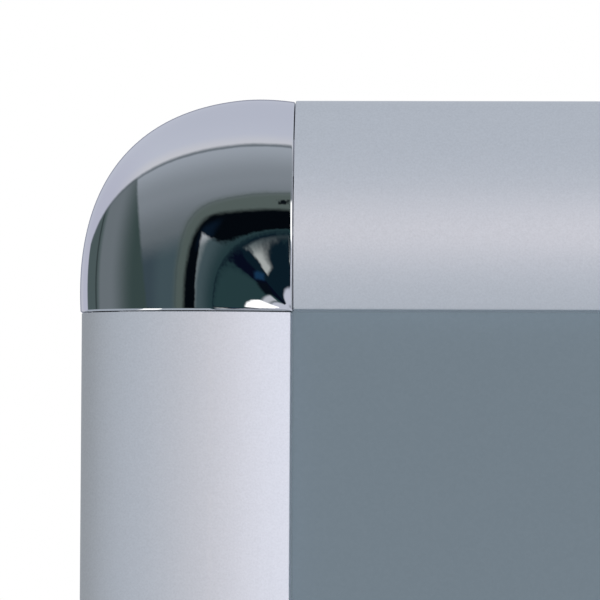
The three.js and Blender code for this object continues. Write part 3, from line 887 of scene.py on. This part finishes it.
class Room(Wiring):
    """A room round the board, painted layer over layer. Its places are degrees to the right and degrees up
    from straight ahead of the board, unrolled about that direction."""

    def __init__(self, tree, colour):
        super().__init__(tree)
        towards = self.node("ShaderNodeTexCoord").outputs["Generated"]
        parts = self.node("ShaderNodeSeparateXYZ")
        self.feed(parts.inputs[0], towards)
        self.x, self.y, self.z = parts.outputs
        from_axis = self.maths("ARCCOSINE", self.maths("MULTIPLY", self.y, -1))
        squares = self.maths("ADD", self.product(self.x, self.x), self.product(self.z, self.z))
        degrees = self.product(from_axis, 180 / math.pi)
        stretch = self.maths("DIVIDE", degrees, self.maths("SQRT", squares))
        self.right = self.product(self.x, stretch)
        self.up = self.product(self.z, stretch)
        self.colour = colour

    def paint(self, mask, colour):
        """Covers the room with a colour as far as the mask goes."""
        self.colour = self.mix(mask, self.colour, colour)

    def within(self, value, low, high, soft=0.4):
        """1 between two bounds, 0 outside them."""
        above_low = self.rise(value, low - soft, low + soft)
        below_high = self.rise(value, high + soft, high - soft)
        return self.product(above_low, below_high)

    def beyond(self, from_place, to_place, soft):
        """1 on the left of the line that goes from one place to another, 0 on its right."""
        run = to_place[0] - from_place[0]
        climb = to_place[1] - from_place[1]
        length = math.hypot(run, climb)
        offset = (from_place[0] * climb - from_place[1] * run) / length
        across = self.maths("MULTIPLY_ADD", self.right, -climb / length, offset)
        distance = self.maths("MULTIPLY_ADD", self.up, run / length, across)
        return self.rise(distance, -soft, soft)

    def from_lens(self):
        """Degrees away from the lens, equal along a square with round corners."""
        over = self.maths("ABSOLUTE", self.maths("SUBTRACT", self.right, LENS[0]))
        above = self.maths("ABSOLUTE", self.maths("SUBTRACT", self.up, LENS[1]))
        powers = [self.maths("POWER", reach, LENS_SQUARENESS) for reach in (over, above)]
        return self.maths("POWER", self.maths("ADD", *powers), 1 / LENS_SQUARENESS)


def mirrored_room(tree):
    """What a mirror finish shows: a bright overhead screen, a dark side wall on the left, a lens in its
    ring in front, a lit slot on the right of it, a pale table and pale far walls."""
    room = Room(tree, linear(66, 82, 88))
    from_lens = room.from_lens()
    paint_front_wall(room)
    paint_side_wall(room)
    paint_lens_ring(room, from_lens)
    paint_lens_facet(room)
    paint_below_lens(room)
    paint_streak(room)
    paint_far_corner(room, from_lens)
    paint_lit_slot(room)
    paint_table(room)
    paint_overhead_screen(room)
    return room.colour


def paint_front_wall(room):
    """From light grey high up to blue-grey low down, darker on the left."""
    room.paint(room.rise(room.right, -22, -29), linear(58, 72, 80))
    room.paint(room.rise(room.up, 7.2, 12.5), linear(96, 104, 109))
    room.paint(room.rise(room.up, 10, 24), linear(127, 134, 141))
    room.paint(room.rise(room.up, 24, 42), linear(155, 162, 171))


def paint_side_wall(room):
    """A wall on the left with a post towards the back."""
    tone = room.mix(room.rise(room.right, -36, -56), linear(56, 71, 70), linear(106, 114, 119))
    room.paint(room.beyond((-29, 2), (-46.5, 36), 0.9), tone)
    room.paint(room.rise(room.right, -67, -74), linear(77, 90, 91))
    post = room.within(room.right, -77, -74.5, 1.4)
    room.paint(room.product(post, 0.85), linear(44, 52, 54))


def paint_lens_ring(room, from_lens):
    """A greenish ring with a thin dark line and two studs, round a nearly black lens hood."""
    room.paint(room.rise(from_lens, 16.0, 12.6, 0, 0.9), linear(82, 93, 89))
    line = room.within(from_lens, 13.9, 14.2, 0.5)
    room.paint(room.product(line, 0.5), linear(58, 68, 66))
    below_brow = room.beyond((0, 10.0), (-12, 13.9), 0.9)
    hood = room.product(below_brow, room.rise(from_lens, 11.8, 9.9))
    room.paint(hood, linear(4, 8, 13))
    for start in (-3.1, -2.05):
        across = room.within(room.right, start, start + 0.5, 0.1)
        stud = room.product(across, room.within(room.up, 12.9, 14.6))
        room.paint(stud, linear(12, 18, 22))
    glint = room.product(room.within(room.right, -11.2, -8.2, 1.0), room.within(room.up, 7.5, 10.8, 1.0))
    room.paint(room.product(glint, 0.7), linear(12, 26, 42))


def paint_lens_facet(room):
    """A slanting facet in the hood, dark teal at the lens and pale at its far edge."""
    left_edge = room.beyond((-9.3, 3.4), (-11.0, 9.4), 0.35)
    facet = room.beyond((-2.2, 3.4), (-10.5, 9.2), 0.3)
    facet = room.product(facet, room.maths("SUBTRACT", 1, left_edge))
    tone = room.mix(room.rise(room.right, -3.0, -8.5), linear(38, 58, 62), linear(66, 82, 87))
    tone = room.mix(room.rise(room.right, -8.2, -9.9, 0, 0.8), tone, linear(112, 121, 124))
    tone = room.mix(room.rise(room.up, 7.0, 8.6), tone, linear(160, 164, 168))
    room.paint(room.product(facet, room.rise(room.right, -2.2, -2.6)), tone)


def paint_below_lens(room):
    """Dark teal below the lens, split by a navy edge, with a blue and a black patch beside it."""
    area = room.product(room.rise(room.right, -3.1, -2.5), room.rise(room.up, 3.8, 3.3))
    room.paint(area, linear(12, 28, 38))
    teal = room.beyond(LENS, (9.5, -5.5), 0.9)
    room.paint(room.product(area, teal), linear(38, 60, 63))
    edge = room.product(room.beyond(LENS, (5.0, -6.1), 0.25), room.beyond((9.5, -5.8), LENS, 0.25))
    room.paint(room.product(area, edge), linear(7, 12, 28))
    blue = room.product(room.within(room.right, 4.3, 7.0, 0.8), room.within(room.up, -8, -4.5, 0.8))
    room.paint(blue, linear(22, 52, 80))
    black = room.product(room.within(room.right, 8.0, 14.0, 1.0), room.within(room.up, -9.5, -4.5, 1.0))
    room.paint(black, linear(8, 14, 22))


def paint_streak(room):
    """A pale streak that runs down from the lens and gets brighter."""
    streak = room.product(
        room.beyond((4.0, -9), (-2.3, 2.2), 0.3),
        room.beyond((-2.8, 2.6), (1.2, -9), 1.0),
        room.within(room.up, -9.2, 1.2, 0.8),
    )
    tone = room.mix(room.rise(room.up, 1.5, -4), linear(96, 106, 108), linear(168, 172, 170))
    room.paint(streak, tone)


def paint_far_corner(room, from_lens):
    """Pale walls and floor far below on the right."""
    far = room.mix(room.rise(room.up, -26, -52), linear(190, 193, 206), linear(112, 119, 128))
    far = room.mix(room.rise(room.right, 34, 62), far, linear(128, 135, 145))
    window = room.product(room.within(room.right, 74, 96, 2), room.rise(room.up, -62, -58))
    far = room.mix(window, far, linear(206, 208, 214))
    corner = room.product(
        room.rise(from_lens, 20.5, 22.5),
        room.rise(room.up, 3, 1),
        room.rise(room.right, -3, -1),
    )
    room.paint(corner, far)


def paint_lit_slot(room):
    """A bright upright slot on the right, over a narrow pale band."""
    band = room.product(
        room.beyond((17.6, -7), (18.4, 1), 0.9),
        room.beyond((15.2, 1), (14.4, -7), 0.9),
        room.rise(room.up, -8, -6),
    )
    room.paint(band, linear(182, 185, 192))
    slot = room.product(
        room.beyond((9.6, 2.4), (14.5, 0.2), 0.35),
        room.rise(room.right, 9.0, 10.2),
        room.rise(room.up, -0.6, 0.4),
        room.rise(room.up, 15, 13),
    )
    room.paint(slot, SLOT_LIGHT)


def paint_table(room):
    """A pale table below on the left, with a white card on it."""
    top = room.product(room.rise(room.up, -9, -11), room.rise(room.right, -3.0, -4.0))
    room.paint(top, linear(160, 168, 178))
    card = room.product(top, room.within(room.right, -31, -22))
    room.paint(card, CARD_LIGHT)


def paint_overhead_screen(room):
    """Evenly lit, with a darker hem in front; it comes down behind on the left."""
    slope = room.maths("MULTIPLY_ADD", room.y, 0.5, room.z)
    hem = room.product(room.rise(slope, 0.262, 0.29), room.rise(room.right, -70, -30, 0.35, 0.75))
    room.paint(hem, linear(88, 96, 102))
    sky = room.mix(room.rise(slope, 0.33, 0.5), linear(200, 201, 207), linear(190, 194, 207))
    sky = room.mix(room.rise(room.z, 0.6, 1.0), sky, linear(184, 188, 202))
    sky = room.mix(room.rise(room.x, -0.55, -0.95), sky, linear(183, 185, 201))
    sky = room.mix(room.rise(room.y, 0.72, 0.92), sky, linear(134, 137, 154))
    lit = room.maths("MAXIMUM", room.rise(slope, 0.29, 0.34), room.rise(room.right, -97, -101))
    room.paint(lit, sky)


def soft_room(tree):
    """What a satin finish gathers: even bluish light, dimmer from the left and from below, and a long low
    lamp that reaches from straight ahead round to the right."""
    room = Room(tree, ROOM_LEFT)
    room.paint(room.rise(room.right, -97, -22), ROOM_AHEAD)
    room.paint(room.rise(room.up, -4, -28), ROOM_BELOW)
    height = room.maths("DIVIDE", room.maths("SUBTRACT", room.up, LAMP_HEIGHT), LAMP_SPREAD)
    lamp = room.maths("EXPONENT", room.maths("MULTIPLY", room.product(height, height), -1))
    lamp = room.product(lamp, room.rise(room.right, -34, 21))
    tone = room.mix(room.rise(room.right, -10, 22), LAMP_AHEAD, LAMP_RIGHT)
    return room.mix(lamp, room.colour, tone, blend="ADD")


def make_world():
    """White behind the board, and a room for each kind of finish to gather light from."""
    world = bpy.data.worlds.new("studio")
    bpy.context.scene.world = world
    world.use_nodes = True
    world.cycles.sampling_method = "NONE"
    tree = world.node_tree
    wires = Wiring(tree)
    shader = next(node for node in tree.nodes if node.type == "BACKGROUND")
    path = wires.node("ShaderNodeLightPath").outputs
    colour = wires.mix(path["Is Diffuse Ray"], soft_room(tree), AMBIENT)
    colour = wires.mix(path["Is Singular Ray"], colour, mirrored_room(tree))
    colour = wires.mix(path["Is Camera Ray"], colour, WHITE)
    wires.feed(shader.inputs["Color"], colour)


def make_far_lamps():
    """Broad far lamps that light matt finishes only."""
    for name, (energy, softness, towards) in FAR_LAMPS.items():
        data = bpy.data.lights.new(name, "SUN")
        data.energy = energy
        data.angle = math.radians(softness)
        lamp = bpy.data.objects.new(name, data)
        lamp.rotation_mode = "QUATERNION"
        lamp.rotation_quaternion = Vector(towards).to_track_quat("-Z", "Y")
        lamp.visible_glossy = False
        bpy.context.scene.collection.objects.link(lamp)


def make_floor():
    """A pale floor that fades out towards its rim."""
    bpy.ops.mesh.primitive_circle_add(vertices=96, radius=FLOOR_RADIUS, fill_type="NGON")
    floor = bpy.context.object
    floor.name = "floor"
    floor.location = (0, 0, cad_low.z - FLOOR_DROP)
    material, wires, shader = new_material("pale_floor")
    place = wires.place()
    from_middle = wires.node("ShaderNodeVectorMath", operation="LENGTH")
    wires.feed(from_middle.inputs[0], place)
    mottle = wires.noise(place, 3.0, detail=3)
    wires.feed(shader["Base Color"], wires.mix(mottle, linear(232, 232, 231), linear(238, 238, 238)))
    shader["Roughness"].default_value = 0.9
    shader["Specular IOR Level"].default_value = 0.1
    fade = wires.rise(from_middle.outputs["Value"], FLOOR_RADIUS, FLOOR_FADE_FROM)
    wires.feed(shader["Alpha"], fade)
    floor.data.materials.append(material)
    floor.visible_glossy = False


# ---------------------------------------------------------------- pieces of the board


def make_front_rails(material):
    """The four hinged rails that show in front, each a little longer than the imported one."""
    section = front_rail_section()
    for side, (turns, x, z) in SIDES.items():
        low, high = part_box(f"front_rail_{side}")
        packed_length = max(high.x - low.x, high.z - low.z) / MM
        length = packed_length + 2 * (PACKED_SEAM_GAP + SEAM_SHIFT - SEAM_GAP)
        rail = extrude_section(f"click_rail_{side}", section, length, CUT_EDGE_ROUND)
        put(rail, turns, x, z)
        finish_piece(rail, material, f"{side}_rail", f"front_rail_{side}")


def make_corner_caps(material):
    """Four casts of the same cap, each turned into its corner."""
    mesh = cap_mesh()
    for corner, (turns, x, z) in CORNERS.items():
        name = f"chrome_cap_{corner}"
        cap = bpy.data.objects.new(name, mesh.copy())
        bpy.context.scene.collection.objects.link(cap)
        put(cap, turns, x, z)
        finish_piece(cap, material, "board", f"corner_cap_{corner}")


def make_sheet(name, node, material, pitted=False):
    """A layer of the panel, with rounded edges or, where it is pitted, crumbly cut sides."""
    low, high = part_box(node)
    work = bmesh.new()
    if pitted:
        add_pitted_slab(work, low, high)
    else:
        add_rounded_slab(work, low, high)
    mesh = bpy.data.meshes.new(name)
    work.to_mesh(mesh)
    work.free()
    sheet = bpy.data.objects.new(name, mesh)
    bpy.context.scene.collection.objects.link(sheet)
    tidy_mesh(sheet)
    finish_piece(sheet, material, "board", node)


def add_rounded_slab(work, low, high):
    """A slab between two corners with all its edges rounded."""
    bmesh.ops.create_cube(work, size=1)
    for vertex in work.verts:
        vertex.co = Vector([low[i] if vertex.co[i] < 0 else high[i] for i in range(3)])
    edges = work.edges[:]
    bmesh.ops.bevel(work, geom=edges, offset=SHEET_EDGE_ROUND * MM, segments=3, affect="EDGES", profile=0.5)


def add_pitted_slab(work, low, high):
    """A slab whose four cut sides are pitted, as pressed granules break out."""
    corners = [(low.x, low.z), (high.x, low.z), (high.x, high.z), (low.x, high.z)]
    rings = [[] for _ in range(CRUMB_ROWS + 1)]
    for index, start in enumerate(corners):
        end = corners[(index + 1) % 4]
        run = Vector((end[0] - start[0], 0, end[1] - start[1]))
        steps = round(run.length / (CRUMB_STEP * MM))
        inward = Vector((-run.z, 0, run.x)).normalized()
        for step in range(steps):
            along = Vector((start[0], 0, start[1])) + run * (step / steps)
            for row, ring in enumerate(rings):
                point = along + Vector((0, low.y + (high.y - low.y) * row / CRUMB_ROWS, 0))
                bite = abs(noise.noise(point * CRUMBS_PER_METRE)) * CRUMB_DEPTH * MM if step else 0
                ring.append(work.verts.new(point + inward * bite))
    count = len(rings[0])
    for near, far in zip(rings, rings[1:]):
        for index in range(count):
            following = (index + 1) % count
            work.faces.new((near[index], near[following], far[following], far[index]))
    work.faces.new(rings[0])
    work.faces.new(list(reversed(rings[-1])))


def soften_node(node, material, round_width):
    """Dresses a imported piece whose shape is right: softened edges, smooth curves and its material."""
    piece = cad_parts[node]
    dress(piece, material)
    for polygon in piece.data.polygons:
        polygon.use_smooth = True
    weld = piece.modifiers.new("weld", "WELD")
    weld.merge_threshold = SAME_PACKED_POINT
    bevel = piece.modifiers.new("soft_edges", "BEVEL")
    bevel.width = round_width * MM
    bevel.segments = 2
    bevel.limit_method = "ANGLE"
    bevel.angle_limit = math.radians(SOFTENED_ANGLE)
    bevel.harden_normals = True
    weigh_normals(piece)


def dress_packed_pieces():
    """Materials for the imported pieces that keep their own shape."""
    along_x = mill_aluminium("mill_aluminium_level", (0.01, 1, 1))
    along_z = mill_aluminium("mill_aluminium_upright", (1, 1, 0.01))
    nylon = black_nylon()
    steel = spring_steel()
    zinc = zinc_plate()
    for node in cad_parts:
        if node.startswith("base_rail"):
            level = node.endswith(("top", "bottom"))
            soften_node(node, along_x if level else along_z, BASE_RAIL_ROUND)
        elif node.startswith("corner_block"):
            soften_node(node, nylon, CORNER_BLOCK_ROUND)
        elif node.startswith("spring_clip"):
            soften_node(node, steel, SPRING_CLIP_ROUND)
        elif node.startswith(("cap_screw", "grub_screw")):
            soften_node(node, zinc, SCREW_ROUND)


# ---------------------------------------------------------------- the scene

bpy.context.scene.view_settings.view_transform = "Standard"
make_camera()
make_world()
make_far_lamps()
make_floor()

make_front_rails(satin_aluminium())
make_corner_caps(chrome_plate())
make_sheet("slate_pin_face", "pin_face", slate_linoleum())
make_sheet("pressed_cork_core", "cork_core", natural_cork(), pitted=True)
make_sheet("screen_backed_hardboard", "backing_board", hardboard())
dress_packed_pieces()
